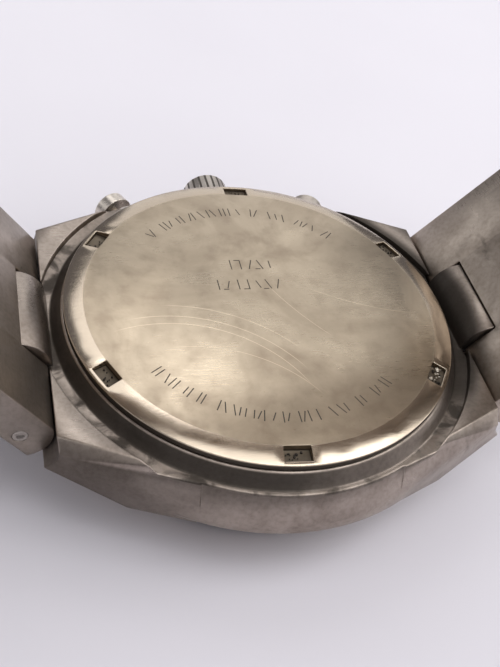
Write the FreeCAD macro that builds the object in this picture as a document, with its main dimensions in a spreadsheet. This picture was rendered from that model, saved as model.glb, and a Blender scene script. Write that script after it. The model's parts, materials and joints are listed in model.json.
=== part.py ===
import FreeCAD, Part
import math
import os
import re

# Chronograph wristwatch lying on its crystal, case back up, bracelet closed in a loop.
# +Z points out of the case back, +Y to the crown (3 o'clock), +X to 12 o'clock.
# The origin is on the case axis at the crystal's outer face.

NODES = []
doc = FreeCAD.newDocument("watch")
sheet = doc.addObject("Spreadsheet::Sheet", "dims")

DIMS = {
    "case_radius": 20.2, "case_low_radius": 18.5, "case_top_radius": 19.1,
    "case_low": 3.6, "case_wide_low": 6.0, "case_wide_high": 7.2, "groove_floor": 9.7,
    "bore_radius": 15.3, "back_bore_radius": 16.7, "back_bore_floor": 9.2,
    "collar_low_radius": 18.7, "collar_top_radius": 17.8, "collar_top": 10.95,
    "groove_radius": 19.9, "lug_top": 10.4, "lug_low": 4.6,
    "lug_root_x": 8.6, "lug_root_y": 18.1, "lug_tip_x": 20.9, "lug_tip_y": 12.6,
    "pin_x": 21.9, "pin_z": 9.5, "knuckle_radius": 3.0, "knuckle_width": 8.8,
    "crystal_radius": 15.0, "crystal_thick": 1.7, "bezel_low": 0.35,
    "bezel_low_radius": 16.4, "bezel_top_radius": 18.4,
    "dial_low": 3.75, "dial_thick": 0.35, "dial_radius": 15.2, "plate_radius": 13.6,
    "cap_face": 12.0, "cap_rim": 11.1, "cap_radius": 17.72, "cap_flat_radius": 16.0,
    "cap_chamfer": 0.34, "notch_width": 2.3, "notch_length": 1.35,
    "notch_start": 15.95, "notch_depth": 0.7,
    "crown_radius": 2.6, "crown_z": 6.2, "crown_low_y": 20.7, "crown_high_y": 23.75,
    "pusher_radius": 1.85, "pusher_z": 6.7, "pusher_high_y": 23.4,
    "pusher_angle": 28.4, "stem_radius": 0.5, "tube_radius": 1.5, "tube_bore": 1.1,
    "link_pitch": 9.0, "first_pitch": 13.0, "link_width": 22.8, "link_taper": 0.6, "wrist_side": 2.35,
    "outer_side": 1.15, "leg_radius": 2.6, "seat_gap": 0.2, "side_gap": 0.2,
    "pin_radius": 0.6, "pin_gap": 0.05, "tongue_width": 8.8,
    "clasp_width": 18.0, "clasp_wall": 0.9, "blade_thick": 0.9, "blade_width": 11.0,
    "hinge_radius": 1.05,
    "crystal_bevel": 0.4, "seal_thick": 0.25, "seal_low": 0.6,
    "ring_low_radius": 14.6, "ring_high_radius": 13.4, "overcut": 0.01,
    "centre_hole": 0.9, "post_hole": 0.3, "sub_dial_reach": 6.6, "sub_dial_radius": 2.9,
    "sub_dial_sink": 0.1, "window_length": 1.6, "window_width": 2.2, "window_y": 9.8,
    "hand_thick": 0.14, "hub_rim": 0.35,
    "holder_height": 4.3, "holder_slot": 1.6, "holder_fit": 0.1, "plate_fit": 0.15,
    "plate_thick": 2.6, "plate_centre_hole": 0.85, "stem_hole": 0.75, "stem_hole_y": 6.5,
    "board_inset": 0.6, "board_thick": 0.35, "board_rise": 2.98,
    "cell_radius": 4.75, "cell_height": 1.9, "cell_rise": 3.0, "cell_offset": 5.2,
    "cell_well_radius": 4.95, "core_length": 9.0, "core_width": 1.5, "core_thick": 0.9,
    "core_x": 0.6, "core_y": 4.2, "core_rise": 3.36, "winding_radius": 0.75,
    "winding_length": 6.0, "winding_x": 2.1, "winding_y": 4.95, "winding_rise": 4.1,
    "bridge_length": 9.4, "bridge_width": 7.6, "bridge_thick": 1.0, "bridge_x": 0.4,
    "bridge_y": -6.2, "bridge_rise": 3.4,
    "flute_radius": 0.2, "flute_proud": 0.06, "crown_draft": 0.15, "crown_well_depth": 1.5,
    "crown_well_gap": 0.1, "neck_gap": 0.25, "neck_length": 3.5, "neck_in": 1.3,
    "stem_start_y": 7.0, "stem_in": 1.3, "crown_seal_y": 18.6, "crown_seal_length": 0.6,
    "tube_start_y": 16.2, "tube_length": 5.4, "button_length": 1.5, "button_dome": 0.25,
    "rod_radius": 0.5, "rod_length": 6.9, "rod_start": 8.2, "coil_pitch": 0.55,
    "coil_length": 2.4, "coil_radius": 0.78, "coil_wire": 0.1, "coil_start_y": 18.4,
    "button_tube_y": 16.3, "button_tube_length": 4.5, "button_collar_y": 20.3,
    "button_collar_length": 0.5, "button_collar_rim": 0.3,
    "notch_azimuth": 26.4, "boss_gap": 0.12, "boss_rise": 0.1, "back_wall": 1.3,
    "back_seal_outer": 0.75, "back_seal_inner": 0.15,
    "well_gap": 1.6, "under_start": 12.6,
    "clasp_rise": 2.7, "clasp_skirt": 0.8, "clasp_ear_drop": 1.2, "clasp_ear_length": 3.0,
    "clasp_ear_back": 1.3, "roof_start": 2.0, "roof_end": 2.0, "wall_start": 3.9, "wall_end": 0.7,
    "clasp_hinge_in": 5.2, "clasp_hinge_rise": 0.95, "fold_in": 5.2, "fold_rise": 0.05,
    "strip_rise": 0.15, "blade_tail": 1.0, "blade_gap": 0.2, "leaf_gap": 0.4, "rod_inset": 0.1,
    "under_run": 8.4, "under_rise": 3.0,
    "facet_tilt": 42.0, "facet_in": 1.1, "web_thick": 2.6, "web_drop": 2.5,
}

# Turn of each bracelet joint towards the wrist, in degrees, from the case to the clasp.
FIRST_HEADING = 52.0
# Where round the case the lugs' flanks touch it, in degrees from the 12 o'clock axis.
MERGE_AZIMUTH = 70.0
LINK_TURNS = [18.0, 20.0, 20.0, 20.0, 20.0]
LINKS = 1 + len(LINK_TURNS)

for row, (alias, value) in enumerate(DIMS.items(), start=1):
    sheet.set("A%d" % row, alias)
    sheet.set("B%d" % row, str(value))
    sheet.setAlias("B%d" % row, alias)
doc.recompute()

ALIAS = re.compile(r"\b(" + "|".join(sorted(DIMS, key=len, reverse=True)) + r")\b")
AXES = {
    "z": FreeCAD.Rotation(),
    "y": FreeCAD.Rotation(FreeCAD.Vector(1, 0, 0), -90),
    "x": FreeCAD.Rotation(FreeCAD.Vector(0, 1, 0), 90),
}


def ex(text):
    """An expression in which every driving dimension is read from the sheet."""
    return ALIAS.sub(r"dims.\1", str(text))


def bind(thing, **sizes):
    for key, text in sizes.items():
        thing.setExpression(key, ex(text))
    return thing


def place(thing, at, rotation=None):
    thing.Placement = FreeCAD.Placement(FreeCAD.Vector(), rotation or FreeCAD.Rotation())
    for key, text in zip("xyz", at):
        if str(text) != "0":
            thing.setExpression("Placement.Base." + key, ex(text))
    return thing


def new(kind, name):
    return doc.addObject("Part::" + kind, name)


def cylinder(name, radius, height, at=(0, 0, 0), along="z"):
    return place(bind(new("Cylinder", name), Radius=radius, Height=height), at, AXES[along])


def cone(name, radius_low, radius_high, height, at=(0, 0, 0), along="z"):
    thing = bind(new("Cone", name), Radius1=radius_low, Radius2=radius_high, Height=height)
    return place(thing, at, AXES[along])


def box(name, size, at, rotation=None):
    thing = bind(new("Box", name), Length=size[0], Width=size[1], Height=size[2])
    return place(thing, at, rotation)


def fuse(name, parts):
    thing = new("MultiFuse", name)
    thing.Shapes = parts
    return thing


def cut(name, base, tools):
    thing = new("Cut", name)
    thing.Base = base
    thing.Tool = tools[0] if len(tools) == 1 else fuse(name + "_tools", tools)
    return thing


def common(name, parts):
    thing = new("MultiCommon", name)
    thing.Shapes = parts
    return thing


def ring(name, outer, inner, height, at=(0, 0, 0), along="z"):
    hole_at = list(at)
    key = "xyz".index(along)
    hole_at[key] = "(%s) - 1" % at[key]
    hole = cylinder(name + "_hole", inner, "(%s) + 2" % height, hole_at, along)
    return cut(name, cylinder(name + "_disc", outer, height, at, along), [hole])


def node(thing, label):
    thing.Label = label
    NODES.append(thing)
    return thing


def turned(angle, axis=(0, 0, 1)):
    return FreeCAD.Rotation(FreeCAD.Vector(*axis), angle)


def spun(name, thing, angle):
    """The same shape turned about the case axis."""
    copy = new("Compound", name)
    copy.Links = [thing]
    copy.Placement = FreeCAD.Placement(FreeCAD.Vector(), turned(angle))
    return copy


# ---------------------------------------------------------------- case

def lug_block(name, turn):
    """Tapering block that carries one pair of lugs."""
    wedge = new("Wedge", name)
    bind(wedge, Xmin="-lug_root_y", Xmax="lug_root_y", X2min="-lug_tip_y", X2max="lug_tip_y",
         Ymin="lug_root_x", Ymax="lug_tip_x", Zmin="lug_low", Zmax="lug_top",
         Z2min="lug_low", Z2max="lug_top")
    wedge.Placement = FreeCAD.Placement(FreeCAD.Vector(), turned(turn))
    return wedge


def lug_cuts(side, sign):
    """Everything that is cut from the lugs at one end of the case."""
    tools = []
    pin = "%d * pin_x" % sign
    for ear, start in (("near", "-lug_tip_y - 2"), ("far", "knuckle_width / 2")):
        tools.append(cylinder("lug_seat_%s_%s" % (side, ear), "leg_radius + seat_gap",
                              "lug_tip_y + 2 - knuckle_width / 2", (pin, start, "pin_z"), "y"))
    well_x = "pin_x - knuckle_radius - well_gap" if sign > 0 else "-pin_x"
    tools.append(box("lug_well_" + side, ("knuckle_radius + well_gap", "knuckle_width", "4"),
                     (well_x, "-knuckle_width / 2", "groove_floor")))
    slope = math.degrees(math.atan2(DIMS["under_rise"], DIMS["under_run"]))
    under = box("lug_under_" + side, ("14", "40", "6"), (0, 0, 0))
    shift = FreeCAD.Vector(-14 if sign < 0 else 0, 0, -6)
    turn = turned(-slope * sign, (0, 1, 0))
    under.Placement = FreeCAD.Placement(
        FreeCAD.Vector(sign * DIMS["under_start"], -20, DIMS["lug_low"]) + turn.multVec(shift), turn)
    tools.append(under)
    return tools


def facet_cuts():
    """The slanting facet between each lug's flat and its flank."""
    run_x = DIMS["lug_tip_x"] - DIMS["lug_root_x"]
    run_y = DIMS["lug_tip_y"] - DIMS["lug_root_y"]
    angle = math.degrees(math.atan2(run_y, run_x))
    tools = []
    for sign_x in (1, -1):
        for sign_y in (1, -1):
            about_z = turned(angle * sign_x * sign_y)
            tilt = turned(-DIMS["facet_tilt"] * sign_y, (1, 0, 0))
            turn = about_z.multiply(tilt)
            low_y = 0 if sign_y > 0 else -6
            tool = box("facet", ("30", "6", "4"), (0, 0, 0))
            side_y = sign_y * (DIMS["lug_tip_y"] - DIMS["facet_in"])
            corner = FreeCAD.Vector(sign_x * DIMS["lug_tip_x"], side_y, DIMS["lug_top"])
            shift = FreeCAD.Vector(-15, low_y, 0)
            tool.Placement = FreeCAD.Placement(corner + turn.multVec(shift), turn)
            tools.append(tool)
    return tools


def merge_cuts():
    """Faces that run the lugs into the two slopes of the round case, tangent to them."""
    low_run = DIMS["case_radius"] - DIMS["case_low_radius"]
    low_tilt = -math.degrees(math.atan2(low_run, DIMS["case_wide_low"] - DIMS["case_low"]))
    top_run = DIMS["case_radius"] - DIMS["case_top_radius"]
    top_tilt = math.degrees(math.atan2(top_run, DIMS["groove_floor"] - DIMS["case_wide_high"]))
    tools = []
    for azimuth in (MERGE_AZIMUTH, 180 - MERGE_AZIMUTH, 180 + MERGE_AZIMUTH, -MERGE_AZIMUTH):
        spoke = turned(azimuth).multVec(FreeCAD.Vector(DIMS["case_radius"], 0, 0))
        slopes = ((low_tilt, DIMS["case_wide_low"], 8), (top_tilt, DIMS["case_wide_high"], 0))
        for tilt, level, drop in slopes:
            turn = turned(azimuth - 90).multiply(turned(tilt, (1, 0, 0)))
            tool = box("merge", ("40", "6", "8"), (0, 0, 0))
            corner = spoke + FreeCAD.Vector(0, 0, level)
            shift = turn.multVec(FreeCAD.Vector(-20, 0, -drop))
            tool.Placement = FreeCAD.Placement(corner + shift, turn)
            tools.append(tool)
    return tools


def make_case():
    drum = fuse("case_drum", [
        cone("case_foot", "case_low_radius", "case_radius", "case_wide_low - case_low",
             (0, 0, "case_low")),
        cylinder("case_belt", "case_radius", "case_wide_high - case_wide_low",
                 (0, 0, "case_wide_low")),
        cone("case_shoulder", "case_radius", "case_top_radius", "groove_floor - case_wide_high",
             (0, 0, "case_wide_high")),
    ])
    lugs = cut("lugs", fuse("lug_blocks", [lug_block("lug_block_a", -90),
                                           lug_block("lug_block_b", 90)]),
               facet_cuts() + merge_cuts())
    outside = fuse("case_outside", [drum, lugs])
    groove = cylinder("groove", "groove_radius", "4", (0, 0, "groove_floor"))
    hollowed = cut("case_grooved", outside, [groove] + lug_cuts("a", 1) + lug_cuts("b", -1))
    collar = cone("collar", "collar_low_radius", "collar_top_radius",
                  "collar_top - groove_floor", (0, 0, "groove_floor"))
    knuckles = []
    for side, sign in (("a", 1), ("b", -1)):
        pin = "%d * pin_x" % sign
        knuckles.append(cylinder("knuckle_" + side, "knuckle_radius", "knuckle_width",
                                 (pin, "-knuckle_width / 2", "pin_z"), "y"))
        web_x = "pin_x - 6" if sign > 0 else "-pin_x"
        knuckles.append(box("web_" + side, ("6", "knuckle_width", "web_thick"),
                            (web_x, "-knuckle_width / 2", "pin_z - web_drop")))
    solid = fuse("case_solid", [hollowed, collar] + knuckles)
    holes = [
        cylinder("case_bore", "bore_radius", "12", (0, 0, 0)),
        cylinder("back_bore", "back_bore_radius", "6", (0, 0, "back_bore_floor")),
        cylinder("crown_hole", "tube_radius", "10", (0, "14", "crown_z"), "y"),
    ]
    for side, sign in (("a", 1), ("b", -1)):
        holes.append(cylinder("case_pin_hole_" + side, "pin_radius + pin_gap", "knuckle_width + 2",
                              ("%d * pin_x" % sign, "-knuckle_width / 2 - 1", "pin_z"), "y"))
        bored = cylinder("pusher_hole_" + side, "tube_radius", "10", (0, "14", "pusher_z"), "y")
        holes.append(spun("pusher_hole_at_" + side, bored, -sign * DIMS["pusher_angle"]))
    node(cut("case_cut", solid, holes), "case_middle")


def make_case_back():
    disc = fuse("back_disc", [
        cylinder("back_rim", "cap_radius", "cap_face - cap_chamfer - cap_rim", (0, 0, "cap_rim")),
        cone("back_slope", "cap_radius", "cap_flat_radius", "cap_chamfer",
             (0, 0, "cap_face - cap_chamfer")),
        cylinder("back_boss", "back_bore_radius - boss_gap",
                 "cap_rim - back_bore_floor - boss_rise", (0, 0, "back_bore_floor + boss_rise")),
    ])
    tools = [cylinder("back_hollow", "back_bore_radius - back_wall", "cap_face - 1 - back_bore_floor",
                      (0, 0, "back_bore_floor"))]
    for step in range(6):
        slot = box("back_notch", ("notch_width", "notch_length", "notch_depth + 1"),
                   ("-notch_width / 2", "notch_start", "cap_face - notch_depth"))
        tools.append(spun("back_notch_at", slot, 60 * step + DIMS["notch_azimuth"] - 90))
    node(cut("back_cut", disc, tools), "case_back")
    node(ring("back_seal", "back_bore_radius + back_seal_outer",
              "back_bore_radius + back_seal_inner", "cap_rim - collar_top",
              (0, 0, "collar_top")), "case_back_gasket")


def make_front():
    crystal = fuse("crystal_body", [
        cone("crystal_edge", "crystal_radius - crystal_bevel", "crystal_radius",
             "crystal_bevel"),
        cylinder("crystal_disc", "crystal_radius", "crystal_thick - crystal_bevel",
                 (0, 0, "crystal_bevel")),
    ])
    node(crystal, "crystal")
    node(ring("seal_ring", "crystal_radius + seal_thick", "crystal_radius",
              "crystal_thick - seal_low", (0, 0, "seal_low")), "crystal_gasket")
    bezel_bore = cylinder("bezel_bore", "crystal_radius + seal_thick", "8", (0, 0, "-1"))
    bezel = cone("bezel_cone", "bezel_low_radius", "bezel_top_radius", "case_low - bezel_low",
                 (0, 0, "bezel_low"))
    node(cut("bezel_cut", bezel, [bezel_bore]), "bezel")
    rehaut = cone("rehaut_hole", "ring_low_radius", "ring_high_radius",
                  "dial_low - crystal_thick + 2 * overcut", (0, 0, "crystal_thick - overcut"))
    node(cut("rehaut_cut", cylinder("rehaut_disc", "dial_radius", "dial_low - crystal_thick",
                                    (0, 0, "crystal_thick")), [rehaut]), "inner_bezel_ring")


REACH = DIMS["sub_dial_reach"]
SUB_DIALS = {"small_seconds": (-REACH, 0), "minute_counter": (0, -REACH), "hour_counter": (REACH, 0)}


def make_dial():
    disc = cylinder("dial_disc", "dial_radius", "dial_thick", (0, 0, "dial_low"))
    tools = [cylinder("dial_centre", "centre_hole", "2", (0, 0, "dial_low - 1"))]
    for name, (x, y) in SUB_DIALS.items():
        tools.append(cylinder("dial_post_" + name, "post_hole", "2", (x, y, "dial_low - 1")))
        tools.append(cylinder("dial_sink_" + name, "sub_dial_radius",
                              "sub_dial_sink + 2 * overcut", (x, y, "dial_low - 2 * overcut")))
    tools.append(box("dial_window", ("window_length", "window_width", "2"),
                     ("-window_length / 2", "window_y", "dial_low - 1")))
    node(cut("dial_cut", disc, tools), "dial")


def make_hand(label, reach, tail, width, low, post_radius, post_top, bore=0, at=(0, 0), turn=0):
    """A flat hand on its post. It points to 12 o'clock before it is turned."""
    blade = box(label + "_blade", (reach + tail, width, "hand_thick"), (-tail, -width / 2, low))
    hub = cylinder(label + "_hub", "%s + hub_rim" % post_radius, "hand_thick", (0, 0, low))
    post = cylinder(label + "_post", post_radius, post_top - low, (0, 0, low))
    solid = fuse(label + "_solid", [blade, hub, post])
    if bore:
        solid = cut(label + "_bored", solid, [cylinder(label + "_bore", bore, 8, (0, 0, low - 1))])
    holder = new("Compound", label + "_set")
    holder.Links = [solid]
    holder.Placement = FreeCAD.Placement(FreeCAD.Vector(at[0], at[1], 0), turned(turn))
    node(holder, label)


# Each hand's reach, tail, width, underside, post radius, post top, bore and turn from 12 o'clock.
CENTRE_HANDS = {
    "hour_hand": (8.2, 1.6, 1.1, 3.1, 0.75, 5.2, 0.55, 57),
    "minute_hand": (12.4, 1.8, 0.9, 2.75, 0.5, 5.6, 0.3, -52),
    "sweep_seconds_hand": (13.0, 3.4, 0.3, 2.35, 0.25, 6.0, 0, 0),
}
SMALL_HAND = (2.3, 0.8, 0.28, 3.5, 0.22, 5.0)


def make_hands():
    for label, (reach, tail, width, low, radius, top, bore, turn) in CENTRE_HANDS.items():
        make_hand(label, reach, tail, width, low, radius, top, bore=bore, turn=turn)
    for name, spot in SUB_DIALS.items():
        make_hand(name + "_hand", *SMALL_HAND, at=spot)


def make_movement():
    dial_top = "dial_low + dial_thick"
    holder = ring("holder_ring", "bore_radius - holder_fit", "plate_radius + plate_fit", "holder_height",
                  (0, 0, dial_top))
    cuts = [cylinder("holder_crown", "holder_slot", "8", (0, "10", "crown_z"), "y")]
    for sign in (1, -1):
        slot = cylinder("holder_push", "holder_slot", "8", (0, "10", "pusher_z"), "y")
        cuts.append(spun("holder_push_at", slot, -sign * DIMS["pusher_angle"]))
    node(cut("holder_cut", holder, cuts), "movement_holder")
    plate = cylinder("plate_disc", "plate_radius", "plate_thick", (0, 0, dial_top))
    holes = [cylinder("plate_centre", "plate_centre_hole", "6", (0, 0, "3"))]
    for name, (x, y) in SUB_DIALS.items():
        holes.append(cylinder("plate_post_" + name, "post_hole", "6", (x, y, "3")))
    holes.append(cylinder("plate_stem", "stem_hole", "8", (0, "stem_hole_y", "crown_z"), "y"))
    node(cut("plate_cut", plate, holes), "main_plate")
    board = cylinder("board_disc", "plate_radius - board_inset", "board_thick",
                     (0, 0, "dial_low + board_rise"))
    well = cylinder("board_well", "cell_well_radius", "3", ("-cell_offset", "-cell_offset", "6"))
    node(cut("board_cut", board, [well]), "circuit_board")
    node(cylinder("cell", "cell_radius", "cell_height",
                  ("-cell_offset", "-cell_offset", "dial_low + cell_rise")), "battery")
    core = box("coil_core", ("core_length", "core_width", "core_thick"),
               ("core_x", "core_y", "dial_low + core_rise"))
    winding = cylinder("coil_winding", "winding_radius", "winding_length",
                       ("winding_x", "winding_y", "dial_low + winding_rise"), "x")
    node(fuse("coil_fuse", [core, winding]), "motor_coil")
    bridge = box("bridge_bar", ("bridge_length", "bridge_width", "bridge_thick"),
                 ("bridge_x", "bridge_y", "dial_low + bridge_rise"))
    node(bridge, "chronograph_bridge")


# ---------------------------------------------------------------- crown and pushers

FLUTES = 22


def make_crown():
    head = cone("crown_head", "crown_radius", "crown_radius - crown_draft",
                "crown_high_y - crown_low_y", (0, "crown_low_y", "crown_z"), "y")
    flutes = []
    for step in range(FLUTES):
        angle = 2 * math.pi * step / FLUTES
        flutes.append(cylinder("flute", "flute_radius", "4", (
            "(crown_radius + flute_proud) * %.5f" % math.cos(angle), "crown_low_y - flute_radius",
            "crown_z + (crown_radius + flute_proud) * %.5f" % math.sin(angle)), "y"))
    well = cylinder("crown_well", "tube_radius + crown_well_gap", "crown_well_depth + 0.1",
                    (0, "crown_low_y - 0.1", "crown_z"), "y")
    head_cut = cut("crown_fluted", head, flutes + [well])
    neck = cylinder("crown_neck", "tube_bore - neck_gap", "neck_length",
                    (0, "crown_low_y - neck_in", "crown_z"), "y")
    node(fuse("crown_fuse", [head_cut, neck]), "crown")
    node(cylinder("stem_rod", "stem_radius", "crown_low_y - stem_in - stem_start_y",
                  (0, "stem_start_y", "crown_z"), "y"), "crown_stem")
    node(ring("crown_seal", "tube_bore - 0.05", "stem_radius + 0.03", "crown_seal_length",
              (0, "crown_seal_y", "crown_z"), "y"), "crown_gasket")
    node(ring("crown_tube_ring", "tube_radius", "tube_bore", "tube_length",
              (0, "tube_start_y", "crown_z"), "y"), "crown_tube")


def make_pusher(label, sign):
    """One push button with its tube and return spring, turned to its place on the case."""
    angle = -sign * DIMS["pusher_angle"]
    high = "pusher_high_y - button_length"
    head = fuse(label + "_head", [
        cylinder(label + "_cap", "pusher_radius", "button_length - button_dome",
                 (0, high, "pusher_z"), "y"),
        cone(label + "_dome", "pusher_radius", "pusher_radius - button_dome", "button_dome",
             (0, "pusher_high_y - button_dome", "pusher_z"), "y"),
        cylinder(label + "_rod", "rod_radius", "rod_length",
                 (0, "pusher_high_y - rod_start", "pusher_z"), "y"),
    ])
    node(spun(label + "_set", head, angle), label)
    spring = Part.makeHelix(DIMS["coil_pitch"], DIMS["coil_length"], DIMS["coil_radius"])
    wire = Part.Wire(spring.Edges)
    start = spring.Edges[0].valueAt(spring.Edges[0].FirstParameter)
    section = Part.Wire(Part.Circle(start, FreeCAD.Vector(0, 1, 0), DIMS["coil_wire"]).toShape())
    coil = wire.makePipeShell([section], True, True)
    thing = new("Feature", label + "_coil")
    thing.Shape = coil
    rotation = turned(angle).multiply(AXES["y"])
    base = turned(angle).multVec(FreeCAD.Vector(0, DIMS["coil_start_y"], DIMS["pusher_z"]))
    thing.Placement = FreeCAD.Placement(base, rotation)
    node(thing, label + "_spring")
    tube = ring(label + "_tube_ring", "tube_radius", "tube_bore", "button_tube_length",
                (0, "button_tube_y", "pusher_z"), "y")
    collar = ring(label + "_collar", "tube_radius + button_collar_rim", "tube_bore",
                  "button_collar_length", (0, "button_collar_y", "pusher_z"), "y")
    return spun(label + "_tube_at", fuse(label + "_tube", [tube, collar]), angle)


# ---------------------------------------------------------------- bracelet

def link_path():
    """Pin centres (x, z) and headings of one side, from the case to the clasp."""
    x, z = DIMS["pin_x"], DIMS["pin_z"]
    heading = FIRST_HEADING
    pitch = DIMS["first_pitch"]
    path = []
    for turn in LINK_TURNS + [0.0]:
        path.append((x, z, heading))
        x += pitch * math.cos(math.radians(heading))
        z += pitch * math.sin(math.radians(heading))
        heading += turn
        pitch = DIMS["link_pitch"]
    path.append((x, z, heading))
    return path


def make_link(label, index, pitch, seat):
    """One link in its own frame: X along the bracelet, Z to the wrist, pins along Y.

    Its fork holds the pin at the origin and its tongue ends round the next pin.
    """
    width = "(link_width - link_taper * %d)" % index
    half = width + " / 2"
    thick = "wrist_side + outer_side"
    slab = box(label + "_slab", (pitch, width, thick), (0, "-" + half, "-outer_side"))
    ends = fuse(label + "_ends", [
        cylinder(label + "_fork_end", "leg_radius", width, (0, "-" + half, 0), "y"),
        cylinder(label + "_tongue_end", "leg_radius", width, (pitch, "-" + half, 0), "y"),
    ])
    limit = box(label + "_limit", (pitch + " + 8", width + " + 2", thick),
                ("-4", "-" + half + " - 1", "-outer_side"))
    bar = common(label + "_bar", [fuse(label + "_long", [slab, ends]), limit])
    fork_gap = "(tongue_width / 2 + side_gap)"
    tools = [
        box(label + "_fork_gap", ("8", "2 * " + fork_gap, "12"), ("-8", "-" + fork_gap, "-6")),
        cylinder(label + "_seat", seat, "2 * " + fork_gap, (0, "-" + fork_gap, 0), "y"),
        cylinder(label + "_fork_hole", "pin_radius", "40", (0, "-20", 0), "y"),
        cylinder(label + "_tongue_hole", "pin_radius + pin_gap", "40", (pitch, "-20", 0), "y"),
    ]
    for ear, start in (("near", "-20"), ("far", "tongue_width / 2")):
        length = "20 - tongue_width / 2"
        tools.append(cylinder(label + "_next_" + ear, "leg_radius + seat_gap", length,
                              (pitch, start, 0), "y"))
        tools.append(box(label + "_end_" + ear, ("8", length, "12"), (pitch, start, "-6")))
    return cut(label + "_cut", bar, tools)


def make_bracelet(side, sign):
    path = link_path()
    for index in range(LINKS):
        x, z, heading = path[index]
        label = "%s_link_%d" % (side, index + 1)
        seat = "knuckle_radius + seat_gap" if index == 0 else "leg_radius + seat_gap"
        pitch = "first_pitch" if index == 0 else "link_pitch"
        link = make_link(label, index, pitch, seat)
        turn = turned(-heading, (0, 1, 0))
        if sign < 0:
            turn = turned(180).multiply(turn)
        spot = FreeCAD.Placement(FreeCAD.Vector(sign * x, 0, z), turn)
        link.Placement = spot
        node(link, label)
        width = "(link_width - link_taper * %d)" % index
        pin = cylinder(label + "_rod", "pin_radius", width + " - 0.1", (0, 0, 0), "y")
        spin = turn.multiply(AXES["y"])
        half = DIMS["link_width"] / 2 - DIMS["link_taper"] / 2 * index - 0.05
        pin.Placement = FreeCAD.Placement(FreeCAD.Vector(sign * x, 0, z)
                                          + turn.multVec(FreeCAD.Vector(0, -half, 0)), spin)
        node(pin, "%s_pin_%d" % (side, index + 1))
    return path[-1]


def make_clasp(end):
    """Fold-over clasp across the top of the loop, folded shut."""
    end_x, end_z, _ = end
    wall = DIMS["clasp_wall"]
    base = end_z
    top = base + DIMS["clasp_rise"]
    fork = DIMS["tongue_width"] / 2 + DIMS["side_gap"]
    width = DIMS["clasp_width"]
    skirt = DIMS["clasp_skirt"]
    hinge_x = -end_x + DIMS["clasp_hinge_in"]
    hinge_z = base + DIMS["clasp_hinge_rise"]
    roof_start = DIMS["roof_start"] - end_x
    wall_start = DIMS["wall_start"] - end_x
    roof = box("cover_roof", (end_x + DIMS["roof_end"] - roof_start, width, wall),
               (roof_start, -width / 2, top))
    walls = []
    for name, start in (("near", -width / 2), ("far", width / 2 - wall)):
        long = end_x + DIMS["wall_end"] - wall_start
        walls.append(box("cover_side_" + name, (long, wall, top - base + skirt),
                         (wall_start, start, base - skirt)))
    ears = []
    for name, start in (("near", -width / 2), ("far", fork)):
        drop = DIMS["clasp_ear_drop"]
        size = (DIMS["clasp_ear_length"], width / 2 - fork, top - base + drop)
        ears.append(box("cover_ear_" + name, size, (end_x - DIMS["clasp_ear_back"], start, base - drop)))
    cover = cut("cover_cut", fuse("cover_fuse", [roof] + walls + ears), [
        cylinder("cover_pin_hole", "pin_radius", "40", (end_x, "-20", end_z), "y"),
        cylinder("cover_hinge_hole", "pin_radius", "40", (hinge_x, "-20", hinge_z), "y"),
    ])
    node(cover, "clasp_cover")
    inner = width / 2 - wall
    inset = DIMS["rod_inset"]
    rod_low = inset - width / 2
    node(cylinder("cover_pin_rod", "pin_radius", width - 2 * inset, (end_x, rod_low, end_z), "y"),
         "clasp_spring_bar")
    node(cylinder("hinge_pin_rod", "pin_radius", width - 2 * inset, (hinge_x, rod_low, hinge_z), "y"),
         "clasp_hinge_pin")
    blade_width = DIMS["blade_width"]
    thick = DIMS["blade_thick"]
    gap = DIMS["blade_gap"]
    fold_x = end_x - DIMS["fold_in"]
    fold_z = base + DIMS["fold_rise"]
    eye = cylinder("outer_eye", "hinge_radius", 2 * (inner - gap), (hinge_x, gap - inner, hinge_z), "y")
    strip = box("outer_strip", (fold_x - hinge_x, blade_width, thick),
                (hinge_x, -blade_width / 2, hinge_z + DIMS["strip_rise"]))
    curl = cylinder("outer_curl", "hinge_radius", blade_width, (fold_x, -blade_width / 2, fold_z), "y")
    slot = box("outer_slot", (4, blade_width / 2, 4), (fold_x - 2.0, -blade_width / 4, fold_z - 2))
    outer = cut("outer_cut", fuse("outer_fuse", [eye, strip, curl]), [
        slot,
        cylinder("outer_hinge_hole", "pin_radius + pin_gap", "40", (hinge_x, "-20", hinge_z), "y"),
        cylinder("outer_fold_hole", "pin_radius", "40", (fold_x, "-20", fold_z), "y"),
    ])
    node(outer, "clasp_outer_blade")
    node(cylinder("fold_pin_rod", "pin_radius", blade_width - 2 * inset,
                  (fold_x, inset - blade_width / 2, fold_z), "y"), "clasp_fold_pin")
    leaf = blade_width / 2 - DIMS["leaf_gap"]
    knot = cylinder("inner_knot", "hinge_radius", leaf, (fold_x, -leaf / 2, fold_z), "y")
    reach = fold_x - hinge_x + DIMS["blade_tail"]
    strip_low = fold_z - DIMS["hinge_radius"]
    flat = box("inner_strip", (reach, leaf, thick), (fold_x - reach, -leaf / 2, strip_low))
    inner_blade = cut("inner_cut", fuse("inner_fuse", [knot, flat]), [
        cylinder("inner_fold_hole", "pin_radius + pin_gap", "40", (fold_x, "-20", fold_z), "y"),
    ])
    node(inner_blade, "clasp_inner_blade")


make_case()
make_case_back()
make_front()
make_dial()
make_hands()
make_movement()
make_crown()
tubes = [make_pusher("start_pusher", 1), make_pusher("reset_pusher", -1)]
node(fuse("pusher_tube_pair", tubes), "pusher_tubes")
make_bracelet("twelve", 1)
clasp_end = make_bracelet("six", -1)
make_clasp(clasp_end)
doc.recompute()

for thing in doc.Objects:
    for state in thing.State:
        if state in ("Invalid", "Error"):
            raise RuntimeError("%s is %s" % (thing.Name, state))
for thing in NODES:
    if thing.Shape.isNull() or not thing.Shape.isValid():
        raise RuntimeError("%s has no valid shape" % thing.Label)

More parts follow.
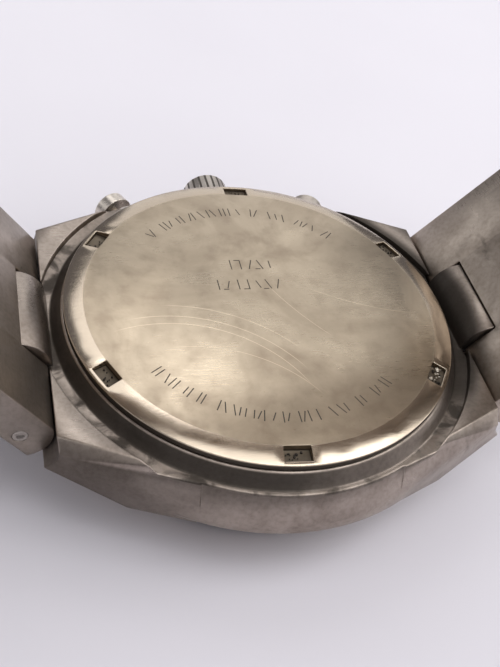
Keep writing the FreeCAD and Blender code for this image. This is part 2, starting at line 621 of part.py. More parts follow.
os.makedirs("parts", exist_ok=True)
for thing in NODES:
    thing.Shape.exportStep("parts/%s.step" % thing.Label)
    bounds = thing.Shape.BoundBox
    print("%-24s solids %d volume %9.2f  x %6.2f %6.2f  y %6.2f %6.2f  z %6.2f %6.2f" % (
        thing.Label, len(thing.Shape.Solids), thing.Shape.Volume, bounds.XMin, bounds.XMax,
        bounds.YMin, bounds.YMax, bounds.ZMin, bounds.ZMax))
print(len(NODES), "nodes; path", [tuple(round(v, 3) for v in spot) for spot in link_path()])
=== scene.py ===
import json
import math
import random

import bmesh
import bpy
from mathutils import Matrix, Vector


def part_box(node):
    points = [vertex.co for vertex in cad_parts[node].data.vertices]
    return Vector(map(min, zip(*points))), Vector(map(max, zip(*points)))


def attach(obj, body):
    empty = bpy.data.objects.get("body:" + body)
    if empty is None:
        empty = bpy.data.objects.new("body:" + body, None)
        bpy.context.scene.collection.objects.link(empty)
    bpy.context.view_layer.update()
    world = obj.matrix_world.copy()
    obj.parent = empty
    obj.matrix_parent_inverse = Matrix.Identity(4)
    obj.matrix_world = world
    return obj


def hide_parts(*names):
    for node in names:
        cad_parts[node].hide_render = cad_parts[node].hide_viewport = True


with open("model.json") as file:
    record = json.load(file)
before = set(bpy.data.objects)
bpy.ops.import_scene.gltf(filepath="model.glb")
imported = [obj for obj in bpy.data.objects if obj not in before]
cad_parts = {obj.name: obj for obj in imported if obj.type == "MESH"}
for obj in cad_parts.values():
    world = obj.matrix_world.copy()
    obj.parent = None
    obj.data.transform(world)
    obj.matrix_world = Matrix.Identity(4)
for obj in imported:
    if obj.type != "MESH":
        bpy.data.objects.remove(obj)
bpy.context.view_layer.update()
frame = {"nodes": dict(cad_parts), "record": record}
NODES = frame["nodes"]
SLOTS = {entry["node"]: entry["material_slot"] for entry in frame["record"]["subparts"]}
BODIES = {node: body for body, members in frame["record"]["behaviour"]["bodies"].items()
          for node in members}
MM = 0.001
scene = bpy.context.scene

# Places on the case and limits of the dirt and painted-shade masks, in mm from the case axis and the
# table. A mask's limit lies up to 0.05 mm off its face in the CAD. +X is 12 o'clock, +Y the crown, +Z out
# of the back.
CAP_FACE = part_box("case_back")[1].z / MM
CAP_FLAT_RADIUS = 16.0
CAP_EDGE_RADIUS = 17.72
CAP_LOW_EDGE = 11.62
COLLAR_RADIUS = 18.72
COLLAR_TOP = 10.95
GROOVE_RADIUS = 19.85
GROOVE_FLOOR = 9.7
NOTCH_FLOOR = CAP_FACE - 0.7
# The wrench notches: their number, then azimuths in degrees.
NOTCHES = 6
NOTCH_STEP = 60
NOTCH_START = 26.4
CRUMB_NOTCH = -33.6
# The crown, the dial and the small added pieces, in mm.
CROWN_HEIGHT = 6.2
CROWN_FLUTES = 22
DIAL_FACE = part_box("dial")[0].z / MM
SUB_DIALS = ((-6.6, 0.0), (0.0, -6.6), (6.6, 0.0))
SUB_DIAL_SINK = 0.1
STROKE_THICKNESS = 0.012
PIN_SIDES = 24
PIN_RINGS = ((0.44, -0.05), (0.36, 0.0))
# In metres.
LAMP_DISTANCE = 0.7

# Dark colour for dirt and for painted shade.
DIRT_AND_SHADE_COLOUR = (0.055, 0.047, 0.04)
WARM = (0.60, 0.52, 0.43)
WARM_DARK = (0.36, 0.30, 0.245)


# ---------------------------------------------------------------- materials

class Shader:
    """A small helper that adds and links the nodes of one material."""

    def __init__(self, name):
        self.material = bpy.data.materials.new(name)
        self.material.use_nodes = True
        self.tree = self.material.node_tree
        self.principled = self.tree.nodes["Principled BSDF"]
        self.coords = self.add("ShaderNodeTexCoord").outputs["Object"]

    def add(self, kind, **settings):
        made = self.tree.nodes.new(kind)
        for key, value in settings.items():
            setattr(made, key, value)
        return made

    def link(self, source, target):
        if hasattr(source, "is_output"):
            self.tree.links.new(source, target)
        else:
            target.default_value = source

    def math(self, operation, first, second=0.0, clamp=False):
        made = self.add("ShaderNodeMath", operation=operation, use_clamp=clamp)
        self.link(first, made.inputs[0])
        self.link(second, made.inputs[1])
        return made.outputs[0]

    def times(self, first, second):
        return self.math("MULTIPLY", first, second)

    def most(self, first, second):
        return self.math("MAXIMUM", first, second)

    def split(self, vector):
        """The vector's x, y and z as sockets."""
        made = self.add("ShaderNodeSeparateXYZ")
        self.link(vector, made.inputs[0])
        return made.outputs

    def length(self, first, second):
        square = self.math("ADD", self.math("POWER", first, 2.0), self.math("POWER", second, 2.0))
        return self.math("SQRT", square)

    def scaled(self, per_mm, turn=0.0, move=(0, 0, 0)):
        made = self.add("ShaderNodeMapping")
        made.inputs["Rotation"].default_value = (0, 0, turn)
        made.inputs["Location"].default_value = move
        made.inputs["Scale"].default_value = [axis / MM for axis in per_mm]
        self.link(self.coords, made.inputs["Vector"])
        return made.outputs["Vector"]

    def noise(self, per_mm, detail=3.0, rough=0.55, turn=0.0, move=(0, 0, 0), warp=0.0):
        made = self.add("ShaderNodeTexNoise")
        made.inputs["Scale"].default_value = 1.0
        made.inputs["Detail"].default_value = detail
        made.inputs["Roughness"].default_value = rough
        made.inputs["Distortion"].default_value = warp
        self.link(self.scaled(per_mm, turn, move), made.inputs["Vector"])
        return made.outputs["Fac"]

    def ramp(self, value, low, high, to_low=0.0, to_high=1.0):
        made = self.add("ShaderNodeMapRange", interpolation_type="SMOOTHSTEP")
        self.link(value, made.inputs["Value"])
        made.inputs["From Min"].default_value = low
        made.inputs["From Max"].default_value = high
        made.inputs["To Min"].default_value = to_low
        made.inputs["To Max"].default_value = to_high
        return made.outputs["Result"]

    def mix(self, amount, first, second):
        made = self.add("ShaderNodeMix", data_type="RGBA")
        self.link(amount, made.inputs["Factor"])
        for value, socket in ((first, made.inputs["A"]), (second, made.inputs["B"])):
            if isinstance(value, tuple):
                value = (*value, 1.0)
            self.link(value, socket)
        return made.outputs["Result"]

    def bump(self, height, strength, depth, normal=None):
        made = self.add("ShaderNodeBump")
        made.inputs["Strength"].default_value = strength
        made.inputs["Distance"].default_value = depth * MM
        self.link(height, made.inputs["Height"])
        if normal is not None:
            self.link(normal, made.inputs["Normal"])
        return made.outputs["Normal"]

    def radius_and_height(self):
        """Distance from the case axis, and height, both in mm."""
        x, y, z = self.split(self.coords)
        return self.math("DIVIDE", self.length(x, y), MM), self.math("DIVIDE", z, MM)

    def band(self, value, low, high, soft):
        """1 between low and high, fading over soft outside them."""
        return self.times(self.ramp(value, low - soft, low), self.ramp(value, high + soft, high))

    def set(self, **values):
        for key, value in values.items():
            self.link(value, self.principled.inputs[key.replace("_", " ")])


def edge_mask(shader, radius):
    """Rounded shading normal and a mask that is 1 on worn edges."""
    bevel = shader.add("ShaderNodeBevel", samples=6)
    bevel.inputs["Radius"].default_value = radius * MM
    flat = shader.add("ShaderNodeNewGeometry").outputs["Normal"]
    dot = shader.add("ShaderNodeVectorMath", operation="DOT_PRODUCT")
    shader.link(bevel.outputs["Normal"], dot.inputs[0])
    shader.link(flat, dot.inputs[1])
    return bevel.outputs["Normal"], shader.ramp(dot.outputs["Value"], 0.999, 0.93)


def metal(name, base, dark, rough=(0.28, 0.42), grain=(0.3, 9.0, 9.0), turn=0.0, edge=0.16,
          dirt_and_shade=None):
    """Worn brushed metal: blotches, brushed grain, fine scratches and bright worn edges.

    The mask function in the last argument gives where dark dirt has packed in and where shade is painted
    in.
    """
    shader = Shader(name)
    rounded, worn = edge_mask(shader, edge)
    patches = shader.noise((0.16,) * 3, detail=5, warp=0.6)
    fine = shader.noise((2.6,) * 3, detail=4, move=(3, 5, 7))
    streak = shader.noise(grain, detail=4, rough=0.7, turn=turn)
    lines = shader.noise((0.12, 3.1, 3.1), detail=5, rough=0.8, turn=turn + 0.6, warp=0.3)
    scratch = shader.ramp(lines, 0.66, 0.72, 0.0, 0.5)
    tone = shader.math("ADD", shader.ramp(patches, 0.3, 0.7, 0.0, 0.62),
                       shader.ramp(fine, 0.35, 0.75, 0.0, 0.3), clamp=True)
    colour = shader.mix(tone, base, dark)
    colour = shader.mix(shader.times(scratch, 0.5), colour, tuple(min(1, c * 1.5) for c in base))
    colour = shader.mix(shader.times(worn, 0.55), colour, tuple(min(1, c * 1.45) for c in base))
    roughness = shader.math("ADD", shader.ramp(patches, 0.3, 0.7, rough[0], rough[1]),
                            shader.ramp(streak, 0.3, 0.7, -0.04, 0.05))
    height = shader.math("SUBTRACT", streak, scratch)
    normal = shader.bump(height, 0.55, 0.012, rounded)
    if dirt_and_shade:
        # Dark dirt and painted shade, mixed into the colour with added roughness.
        dirt_and_shade_mask = dirt_and_shade(shader)
        colour = shader.mix(dirt_and_shade_mask, colour, DIRT_AND_SHADE_COLOUR)
        roughness = shader.math("ADD", roughness, shader.times(dirt_and_shade_mask, 0.3))
    shader.set(Base_Color=colour, Metallic=1.0, Roughness=roughness, Normal=normal)
    return shader.material


def groove_dirt_and_shade(shader):
    """Patchy dirt in the groove, and painted shade on the collar's wall, most of it in the trench at 12
    o'clock, with more on the collar there and on the low flanks towards 6 o'clock.

    away and high are in mm, x and y in metres.
    """
    away, high = shader.radius_and_height()
    x, y, _ = shader.split(shader.coords)
    # Painted shade on the collar's wall, weaker towards the +X, -Y side and none at its lip.
    wall_shade = shader.times(shader.ramp(away, COLLAR_RADIUS + 0.25, COLLAR_RADIUS),
                        shader.ramp(high, GROOVE_FLOOR - 0.4, GROOVE_FLOOR))
    diagonal = shader.math("SUBTRACT", x, y)
    wall_shade = shader.times(wall_shade, shader.ramp(diagonal, 0.016, 0.023, 1.0, 0.35))
    lip = shader.ramp(high, COLLAR_TOP - 0.16, COLLAR_TOP - 0.06)
    wall_shade = shader.times(wall_shade, shader.math("SUBTRACT", 1.0, lip))
    # Patchy dirt on the groove's floor.
    floor = shader.times(shader.band(away, COLLAR_RADIUS, GROOVE_RADIUS, 0.1),
                         shader.band(high, GROOVE_FLOOR - 0.1, GROOVE_FLOOR + 0.1, 0.2))
    lumps = shader.noise((0.35,) * 3, detail=5, warp=0.8, move=(4, 1, 6))
    patchy_dirt_and_shade = shader.times(floor, shader.ramp(lumps, 0.42, 0.62, 0.12, 0.85))
    # Painted shade in the trench and on the collar, on the 12 o'clock side only.
    side = shader.times(shader.ramp(x, 0.008, 0.014), shader.ramp(y, -0.014, -0.009))
    trench_shade = shader.times(shader.ramp(away, COLLAR_RADIUS - 0.2, COLLAR_RADIUS - 0.1),
                          shader.ramp(away, GROOVE_RADIUS + 1.6, GROOVE_RADIUS + 0.2))
    trench_shade = shader.times(trench_shade, shader.ramp(high, GROOVE_FLOOR - 0.6, GROOVE_FLOOR - 0.4))
    patchy_dirt_and_shade = shader.most(patchy_dirt_and_shade, shader.times(shader.times(trench_shade, side), 0.9))
    collar_shade = shader.times(shader.band(away, CAP_EDGE_RADIUS - 0.2, COLLAR_RADIUS, 0.1), side)
    patchy_dirt_and_shade = shader.most(patchy_dirt_and_shade, shader.times(collar_shade, 0.6))
    # Painted shade on the case's low flanks, darker towards 6 o'clock.
    low_flank_shade = shader.times(shader.ramp(high, GROOVE_FLOOR, GROOVE_FLOOR - 0.3),
                           shader.ramp(x, 0.0, -0.016, 0.0, 0.62))
    patchy_dirt_and_shade = shader.most(patchy_dirt_and_shade, low_flank_shade)
    spots = shader.noise((0.22,) * 3, detail=6, warp=1.0, move=(11, 3, 2))
    stains = shader.ramp(spots, 0.62, 0.8, 0.0, 0.55)
    return shader.most(shader.times(wall_shade, 0.86), shader.most(patchy_dirt_and_shade, stains))


def flute_shade(shader):
    """Painted shade in stripes down the crown's flutes, standing in for the shade of their relief, and
    none on its end.
    """
    x, _, z = shader.split(shader.coords)
    rise = shader.math("SUBTRACT", z, CROWN_HEIGHT * MM)
    around = shader.math("ARCTAN2", rise, x)
    wave = shader.math("COSINE", shader.times(around, float(CROWN_FLUTES)))
    side = shader.ramp(shader.length(rise, x), 2.2 * MM, 2.35 * MM)
    return shader.times(side, shader.ramp(wave, 0.1, 0.8, 0.0, 0.85))


def gap_dirt_and_shade(shader):
    """Patchy dirt on the links, with painted shade on the near links towards 6 o'clock."""
    x, y, _ = shader.split(shader.coords)
    spots = shader.noise((0.2,) * 3, detail=6, warp=1.0, move=(7, 3, 2))
    # Painted shade on the near links towards 6 o'clock.
    near_links_shade = shader.times(shader.ramp(x, -0.015, -0.02), shader.ramp(y, 0.004, -0.008, 0.0, 0.42))
    return shader.most(shader.ramp(spots, 0.58, 0.8, 0.0, 0.6), near_links_shade)


# Long scratches on the case back: centre x, y and radius in mm, start and end in degrees, width.
ARC_SCRATCHES = (
    (-9.5, -14.5, 12.4, 20, 112, 0.05), (-9.5, -14.5, 13.3, 28, 104, 0.05),
    (-9.5, -14.5, 14.6, 36, 90, 0.04), (-8.0, -17.5, 12.6, 30, 96, 0.045),
    (18.0, 22.0, 24.0, 236, 262, 0.045), (26.0, 14.0, 27.5, 205, 222, 0.04),
)


def arc_line(shader, x, y, radius, start, end, width):
    """1 on a thin arc about (x, y), fading at its ends."""
    apart = shader.add("ShaderNodeVectorMath", operation="SUBTRACT")
    shader.link(shader.coords, apart.inputs[0])
    apart.inputs[1].default_value = (x * MM, y * MM, 0)
    right, ahead, _ = shader.split(apart.outputs[0])
    away = shader.math("ABSOLUTE", shader.math("SUBTRACT", shader.length(right, ahead), radius * MM))
    line = shader.ramp(away, width * MM, width * MM * 0.25)
    middle = math.radians((start + end) / 2)
    half = math.radians((end - start) / 2)
    dot = shader.math("ADD", shader.times(right, math.cos(middle)), shader.times(ahead, math.sin(middle)))
    reach = shader.ramp(dot, radius * MM * math.cos(half), radius * MM * math.cos(half * 0.75))
    return shader.times(line, reach)


def back_metal(name, base, dark):
    """The case back: worn satin disc with smudges, small nicks and long arc scratches."""
    shader = Shader(name)
    rounded, worn = edge_mask(shader, 0.09)
    patches = shader.noise((0.11,) * 3, detail=6, warp=1.2)
    cloud = shader.noise((0.5,) * 3, detail=5, move=(9, 2, 4))
    fine = shader.noise((4.5,) * 3, detail=3, move=(3, 5, 7))
    streak = shader.noise((0.5, 7.0, 3.0), detail=4, rough=0.7, turn=0.5)
    lines = shader.noise((0.09, 2.7, 1.0), detail=5, rough=0.85, turn=-0.9, warp=0.5)
    crossing = shader.noise((1.9, 0.1, 1.0), detail=5, rough=0.85, turn=0.35, warp=0.5, move=(5, 1, 0))
    scratch = shader.most(shader.ramp(lines, 0.68, 0.73), shader.ramp(crossing, 0.69, 0.74))
    arcs = 0.0
    for x, y, radius, start, end, width in ARC_SCRATCHES:
        arcs = shader.most(arcs, arc_line(shader, x, y, radius, start, end, width))
    marks = shader.most(shader.times(scratch, 0.4), arcs)
    tone = shader.math("ADD", shader.ramp(patches, 0.36, 0.64, 0.0, 0.55),
                       shader.ramp(cloud, 0.4, 0.72, 0.0, 0.4), clamp=True)
    colour = shader.mix(tone, base, dark)
    colour = shader.mix(shader.ramp(fine, 0.62, 0.75, 0.0, 0.25), colour, tuple(c * 0.55 for c in dark))
    colour = shader.mix(shader.times(marks, 0.6), colour, tuple(min(1, c * 1.5) for c in base))
    colour = shader.mix(shader.times(worn, 0.4), colour, tuple(min(1, c * 1.3) for c in base))
    away, high = shader.radius_and_height()
    chamfer = shader.times(shader.ramp(away, CAP_FLAT_RADIUS - 0.02, CAP_FLAT_RADIUS + 0.06),
                           shader.ramp(high, CAP_LOW_EDGE - 0.05, CAP_LOW_EDGE))
    # Painted shade under the cap's edge.
    under_edge_shade = shader.times(shader.ramp(high, CAP_LOW_EDGE + 0.02, CAP_LOW_EDGE - 0.1),
                         shader.ramp(away, CAP_EDGE_RADIUS - 0.3, CAP_EDGE_RADIUS - 0.05))
    # Painted shade and packed dirt in the notches, sunk below the face.
    notch_dirt_and_shade = shader.times(shader.ramp(high, CAP_FACE - 0.42, CAP_FACE - 0.5), 0.82)
    dirt_and_shade_mask = shader.most(under_edge_shade, notch_dirt_and_shade)
    colour = shader.mix(shader.times(chamfer, 0.75), colour, (0.60, 0.51, 0.41))
    colour = shader.mix(shader.times(dirt_and_shade_mask, 0.9), colour, DIRT_AND_SHADE_COLOUR)
    roughness = shader.math("ADD", shader.ramp(patches, 0.3, 0.7, 0.27, 0.36),
                            shader.ramp(streak, 0.3, 0.7, -0.03, 0.04))
    roughness = shader.math("SUBTRACT", roughness, shader.times(chamfer, 0.14))
    roughness = shader.math("ADD", roughness, shader.times(dirt_and_shade_mask, 0.3))
    normal = shader.bump(shader.math("SUBTRACT", streak, marks), 0.35, 0.012, rounded)
    shader.set(Base_Color=colour, Metallic=1.0, Roughness=roughness, Normal=normal)
    return shader.material


def plain(name, base, rough, metallic=0.0, coat=0.0):
    """Plastic, rubber or lacquer with a slight mottle and fine surface texture."""
    shader = Shader(name)
    cloud = shader.noise((0.6,) * 3, detail=4)
    fine = shader.noise((9.0,) * 3, detail=3)
    colour = shader.mix(shader.ramp(cloud, 0.3, 0.7, 0.0, 0.25), base, tuple(c * 0.55 for c in base))
    roughness = shader.ramp(fine, 0.3, 0.7, rough - 0.06, rough + 0.08)
    normal = shader.bump(fine, 0.3, 0.008)
    shader.set(Base_Color=colour, Metallic=metallic, Roughness=roughness, Normal=normal)
    shader.principled.inputs["Coat Weight"].default_value = coat
    return shader.material


def glass(name):
    """Clear crystal with faint smears."""
    shader = Shader(name)
    smear = shader.noise((0.25,) * 3, detail=5, warp=0.8)
    shader.set(Base_Color=(0.96, 0.98, 1.0, 1.0), Roughness=shader.ramp(smear, 0.4, 0.8, 0.01, 0.06))
    shader.principled.inputs["Transmission Weight"].default_value = 1.0
    shader.principled.inputs["IOR"].default_value = 1.5
    return shader.material


def floor_material():
    """Pale matt paper, slightly clouded."""
    shader = Shader("floor_paper")
    cloud = shader.noise((0.01,) * 3, detail=3)
    fine = shader.noise((1.2,) * 3, detail=2)
    colour = shader.mix(shader.ramp(cloud, 0.3, 0.7), (0.80, 0.775, 0.83), (0.76, 0.735, 0.79))
    shader.set(Base_Color=colour, Roughness=0.75, Normal=shader.bump(fine, 0.1, 0.02))
    return shader.material


MATERIALS = {
    "case_metal": metal("case_titanium", (0.44, 0.375, 0.325), (0.21, 0.172, 0.145), turn=0.3,
                        dirt_and_shade=groove_dirt_and_shade),
    "bezel_metal": metal("bezel_titanium", WARM, WARM_DARK, rough=(0.24, 0.34)),
    "back_metal": back_metal("back_titanium", (0.58, 0.485, 0.365), (0.375, 0.30, 0.222)),
    "bracelet_metal": metal("bracelet_titanium", (0.50, 0.43, 0.37), (0.27, 0.225, 0.185),
                            grain=(9.0, 0.4, 9.0), dirt_and_shade=gap_dirt_and_shade),
    "crown_metal": metal("crown_titanium", (0.70, 0.66, 0.61), (0.42, 0.37, 0.33), edge=0.08,
                         dirt_and_shade=flute_shade),
    "pusher_metal": metal("pusher_titanium", (0.70, 0.64, 0.57), (0.42, 0.36, 0.31), edge=0.12),
    "tube_metal": metal("tube_steel", (0.52, 0.48, 0.44), (0.34, 0.30, 0.27), edge=0.05),
    "clasp_metal": metal("clasp_titanium", WARM, WARM_DARK, grain=(9.0, 0.4, 9.0)),
    "blade_metal": metal("blade_steel", (0.68, 0.65, 0.6), (0.5, 0.46, 0.42), rough=(0.16, 0.26)),
    "pin_steel": metal("pin_steel", (0.42, 0.38, 0.34), (0.22, 0.19, 0.17), edge=0.05),
    "hand_metal": metal("hand_metal", (0.85, 0.85, 0.84), (0.7, 0.7, 0.69), rough=(0.12, 0.2), edge=0.02),
    "spring_steel": metal("spring_steel", (0.6, 0.6, 0.6), (0.4, 0.4, 0.4), edge=0.02),
    "cell_steel": metal("cell_steel", (0.75, 0.75, 0.74), (0.6, 0.6, 0.58), rough=(0.2, 0.3)),
    "bridge_metal": metal("bridge_metal", (0.62, 0.61, 0.58), (0.45, 0.44, 0.41)),
    "movement_brass": metal("movement_brass", (0.78, 0.62, 0.33), (0.6, 0.45, 0.22)),
    "coil_copper": metal("coil_copper", (0.75, 0.33, 0.16), (0.5, 0.2, 0.09), grain=(12.0, 0.5, 0.5)),
    "gasket_rubber": plain("gasket_rubber", (0.012, 0.012, 0.012), 0.6),
    "gasket_nylon": plain("gasket_nylon", (0.7, 0.7, 0.66), 0.4),
    "ring_black": plain("ring_black", (0.015, 0.015, 0.017), 0.45),
    "dial_face": plain("dial_lacquer", (0.012, 0.016, 0.028), 0.32, coat=0.5),
    "holder_plastic": plain("holder_plastic", (0.6, 0.6, 0.57), 0.5),
    "board_green": plain("board_green", (0.02, 0.12, 0.05), 0.35),
    "crystal_glass": glass("crystal_glass"),
}
for node, name in SLOTS.items():
    for place in NODES[node].material_slots:
        place.material = MATERIALS[name]
INK = plain("engraving", (0.10, 0.085, 0.07), 0.6, metallic=0.6)
PALE = plain("dial_print", (0.75, 0.76, 0.74), 0.5)
DIRT = plain("packed_dirt", (0.035, 0.028, 0.022), 0.9)
FLAKE = plain("metal_flake", (0.75, 0.68, 0.58), 0.35, metallic=1.0)


# ---------------------------------------------------------------- mesh pieces

BOX_CORNERS = [(x, y, z) for x in (-1, 1) for y in (-1, 1) for z in (-1, 1)]
BOX_FACES = ((0, 1, 3, 2), (4, 6, 7, 5), (0, 4, 5, 1), (2, 3, 7, 6), (0, 2, 6, 4), (1, 5, 7, 3))


def piece(name, verts, faces, body, material):
    """A mesh in millimetres that rides on a body."""
    mesh = bpy.data.meshes.new(name)
    mesh.from_pydata([Vector(v) * MM for v in verts], [], faces)
    mesh.validate()
    made = bpy.data.objects.new(name, mesh)
    scene.collection.objects.link(made)
    made.data.materials.append(material)
    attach(made, body)


def rounded(node, width, body):
    """The CAD node's own shape with its sharp edges rounded off, shown in its place."""
    source = NODES[node]
    work = bmesh.new()
    work.from_mesh(source.data)
    bmesh.ops.remove_doubles(work, verts=work.verts, dist=0.002 * MM)
    bmesh.ops.dissolve_limit(work, angle_limit=math.radians(0.4), verts=work.verts, edges=work.edges)
    sharp = [edge for edge in work.edges
             if edge.is_manifold and edge.calc_face_angle() > math.radians(32)]
    bmesh.ops.bevel(work, geom=sharp, offset=width * MM, segments=2, profile=0.5,
                    affect="EDGES", clamp_overlap=False, miter_outer="ARC")
    low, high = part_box(node)
    for vert in work.verts:
        vert.co = [min(max(value, least), most) for value, least, most in zip(vert.co, low, high)]
    bmesh.ops.triangulate(work, faces=[face for face in work.faces if len(face.verts) > 4])
    mesh = bpy.data.meshes.new(node + "_worn")
    work.to_mesh(mesh)
    work.free()
    mesh.materials.append(source.data.materials[0])
    mesh.shade_smooth()
    mesh.set_sharp_from_angle(angle=math.radians(28))
    made = bpy.data.objects.new(node + "_worn", mesh)
    scene.collection.objects.link(made)
    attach(made, body)
    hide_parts(node)


def add_box(verts, faces, matrix, size):
    """Adds a closed box, centred on the matrix's origin, to a list of points and faces."""
    start = len(verts)
    for corner in BOX_CORNERS:
        verts.append(matrix @ Vector([side * length / 2 for side, length in zip(corner, size)]))
    faces.extend([start + index for index in face] for face in BOX_FACES)


def strokes(name, spots, body, material, lift):
    """Thin raised bars from a list of (matrix, length, width) on a plane at height lift, in mm."""
    verts, faces = [], []
    for matrix, length, width in spots:
        add_box(verts, faces, Matrix.Translation((0, 0, lift)) @ matrix, (length, width, STROKE_THICKNESS))
    piece(name, verts, faces, body, material)


def spoke(angle, radius, skew=0.0):
    """A place at an angle and radius about the case axis, turned by skew there."""
    turn = Matrix.Rotation(math.radians(angle), 4, "Z")
    return turn @ Matrix.Translation((radius, 0, 0)) @ Matrix.Rotation(math.radians(skew), 4, "Z")


def back_engraving():
    """Neutral strokes where a case back carries its engraving: two rows on a ring and two short rows."""
    draw = random.Random(7)
    ring = []
    for first, last in ((46, 132), (214, 318)):
        angle = first
        while angle < last:
            for _ in range(draw.choice((1, 2, 2, 3))):
                skew = draw.choice((-18, 0, 0, 0, 18))
                ring.append((spoke(angle, 13.1, skew), draw.choice((0.9, 1.15, 1.15)), 0.1))
                angle += draw.uniform(1.7, 2.4)
            angle += draw.choice((1.2, 1.8, 4.0))
    strokes("case_back_ring_strokes", ring, "back", INK, CAP_FACE - 0.004)
    rows = []
    for level, start, count in ((2.6, -3.6, 7), (5.3, -1.9, 5)):
        for index in range(count):
            skew = draw.choice((72, 90, 90, 108))
            across = start + index * 0.95
            spot = Matrix.Translation((across, level, 0)) @ Matrix.Rotation(math.radians(skew), 4, "Z")
            rows.append((spot, draw.choice((1.0, 1.3)), 0.1))
            if index % 2:
                bar = Matrix.Translation((across - 0.3, level + draw.choice((-0.6, 0.6)), 0))
                rows.append((bar, 0.5, 0.1))
    strokes("case_back_row_strokes", rows, "back", INK, CAP_FACE - 0.004)


def crumb(verts, faces, centre, size, draw):
    """One irregular eight-cornered crumb."""
    start = len(verts)
    for corner in BOX_CORNERS:
        jitter = [draw.uniform(0.45, 1.0) * size * side / 2 for side in corner]
        verts.append(Vector(centre) + Vector(jitter))
    faces.extend([start + index for index in face] for face in BOX_FACES)


def notch_debris():
    """Packed dirt in every notch of the back, and bright metal crumbs in one."""
    draw = random.Random(3)
    verts, faces = [], []
    for step in range(NOTCHES):
        for _ in range(12):
            angle = NOTCH_STEP * step + NOTCH_START + draw.uniform(-3.3, 3.3)
            place = spoke(angle, draw.uniform(16.1, 17.2)) @ Vector()
            crumb(verts, faces, (place.x, place.y, NOTCH_FLOOR + 0.06), draw.uniform(0.1, 0.22), draw)
    piece("case_back_packed_dirt", verts, faces, "back", DIRT)
    verts, faces = [], []
    for _ in range(9):
        place = spoke(CRUMB_NOTCH + draw.uniform(-2.8, 3.4), draw.uniform(16.0, 17.0)) @ Vector()
        level = NOTCH_FLOOR + draw.uniform(0.2, 0.5)
        crumb(verts, faces, (place.x, place.y, level), draw.uniform(0.16, 0.34), draw)
    piece("case_back_metal_crumbs", verts, faces, "back", FLAKE)


def dial_print():
    """Hour markers, a minute track and the small dials' tracks on the dial's face."""
    tips = []
    for minute in range(60):
        if minute % 5:
            tips.append((spoke(6 * minute, 12.75), 0.5, 0.09))
    strokes("dial_minute_track", tips, "case", PALE, DIAL_FACE - 0.006)
    markers = []
    for hour in range(12):
        if hour in (9, 6, 0):
            markers.append((spoke(30 * hour, 11.9), 1.6, 0.5))
        elif hour != 3:
            markers.append((spoke(30 * hour, 11.3), 2.4, 0.6))
    strokes("dial_hour_markers", markers, "case", PALE, DIAL_FACE - 0.006)
    small = []
    for x, y in SUB_DIALS:
        for step in range(30):
            length = 0.6 if step % 5 == 0 else 0.3
            tick = Matrix.Translation((x, y, 0)) @ spoke(12 * step, 2.75 - length / 2)
            small.append((tick, length, 0.07))
    strokes("dial_small_tracks", small, "case", PALE, DIAL_FACE + SUB_DIAL_SINK - 0.006)


def pin_heads():
    """A low chamfered head on both ends of every bracelet pin."""
    for label, slot in SLOTS.items():
        if "_pin_" not in label:
            continue
        low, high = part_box(label)
        centre = (low + high) / 2 / MM
        reach = (high.y - low.y) / 2 / MM
        verts, faces = [], []
        for side in (-1, 1):
            start = len(verts)
            inner = start + PIN_SIDES
            for radius, out in PIN_RINGS:
                for step in range(PIN_SIDES):
                    around = math.tau * step / PIN_SIDES
                    verts.append((centre.x + radius * math.cos(around), side * (reach + out),
                                  centre.z + radius * math.sin(around)))
            for step in range(PIN_SIDES):
                after = (step + 1) % PIN_SIDES
                faces.append((start + step, start + after, inner + after, inner + step))
            faces.append([inner + step for step in range(PIN_SIDES)])
        piece(label + "_heads", verts, faces, BODIES[label], MATERIALS[slot])


for label in SLOTS:
    if "_link_" in label or label in ("clasp_cover", "clasp_outer_blade", "clasp_inner_blade"):
        rounded(label, 0.13, BODIES[label])
rounded("case_middle", 0.09, "case")
rounded("case_back", 0.06, "back")
back_engraving()
notch_debris()
dial_print()
pin_heads()

# ---------------------------------------------------------------- floor, light and camera

bpy.ops.mesh.primitive_plane_add(size=3.0, location=(0, 0, -0.00003))
floor = bpy.context.object
floor.name = "floor"
floor.data.materials.append(floor_material())


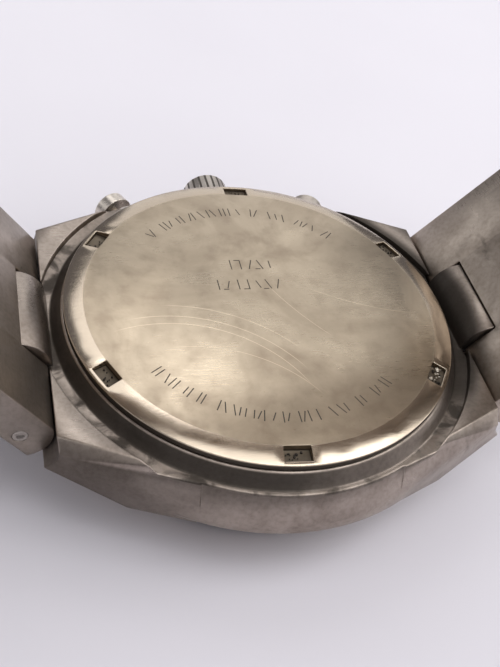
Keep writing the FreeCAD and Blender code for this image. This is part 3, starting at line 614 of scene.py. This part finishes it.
def area_light(name, place, size, power):
    """A square lamp that faces the watch."""
    data = bpy.data.lights.new(name, "AREA")
    data.shape = "RECTANGLE"
    data.size = data.size_y = size
    data.energy = power
    made = bpy.data.objects.new(name, data)
    made.location = place
    made.rotation_euler = (-place).to_track_quat("-Z", "Y").to_euler()
    scene.collection.objects.link(made)


# Name, azimuth and elevation in degrees, side in metres, power in watts.
LIGHTS = (
    ("right_window", 10, 42, 0.5, 1.45),
    ("overhead", 40, 80, 0.6, 1.8),
    ("front_right", -35, 55, 0.5, 1.0),
    ("low_right", -5, 15, 0.4, 0.5),
    ("left_card", 180, 40, 0.5, 0.55),
    ("back_low", 75, 18, 0.4, 0.4),
    ("back_high", 98, 52, 0.3, 0.42),
    ("back_right", 55, 44, 0.35, 0.25),
    ("back_left_low", 142, 12, 0.35, 0.34),
    ("front", -100, 62, 0.6, 0.8),
)
for label, azimuth, elevation, size, power in LIGHTS:
    around, up = math.radians(azimuth), math.radians(elevation)
    aim = Vector((math.cos(around) * math.cos(up), math.sin(around) * math.cos(up), math.sin(up)))
    area_light(label, aim * LAMP_DISTANCE, size, power)

world = bpy.data.worlds.new("studio")
world.use_nodes = True
background = world.node_tree.nodes["Background"]
background.inputs["Color"].default_value = (0.93, 0.90, 0.96, 1.0)
background.inputs["Strength"].default_value = 0.17
scene.world = world
scene.view_settings.view_transform = "Standard"

# The camera's place in mm and its turn, tilt from straight down and roll in degrees.
CAMERA_PLACE = (-24.76, -56.73, 67.94)
CAMERA_TURN = -23.16
CAMERA_DOWN = 44.09
CAMERA_ROLL = 14.55
camera_data = bpy.data.cameras.new("camera")
camera_data.lens = 49.86
camera_data.sensor_width = 36.0
camera_data.clip_start = 0.005
camera = bpy.data.objects.new("camera", camera_data)
look = (Matrix.Rotation(math.radians(CAMERA_TURN), 4, "Z")
        @ Matrix.Rotation(math.radians(90 - CAMERA_DOWN), 4, "X")
        @ Matrix.Rotation(math.radians(CAMERA_ROLL), 4, "Z"))
camera.matrix_world = Matrix.Translation(Vector(CAMERA_PLACE) * MM) @ look
scene.collection.objects.link(camera)
scene.camera = camera

bpy.context.view_layer.update()
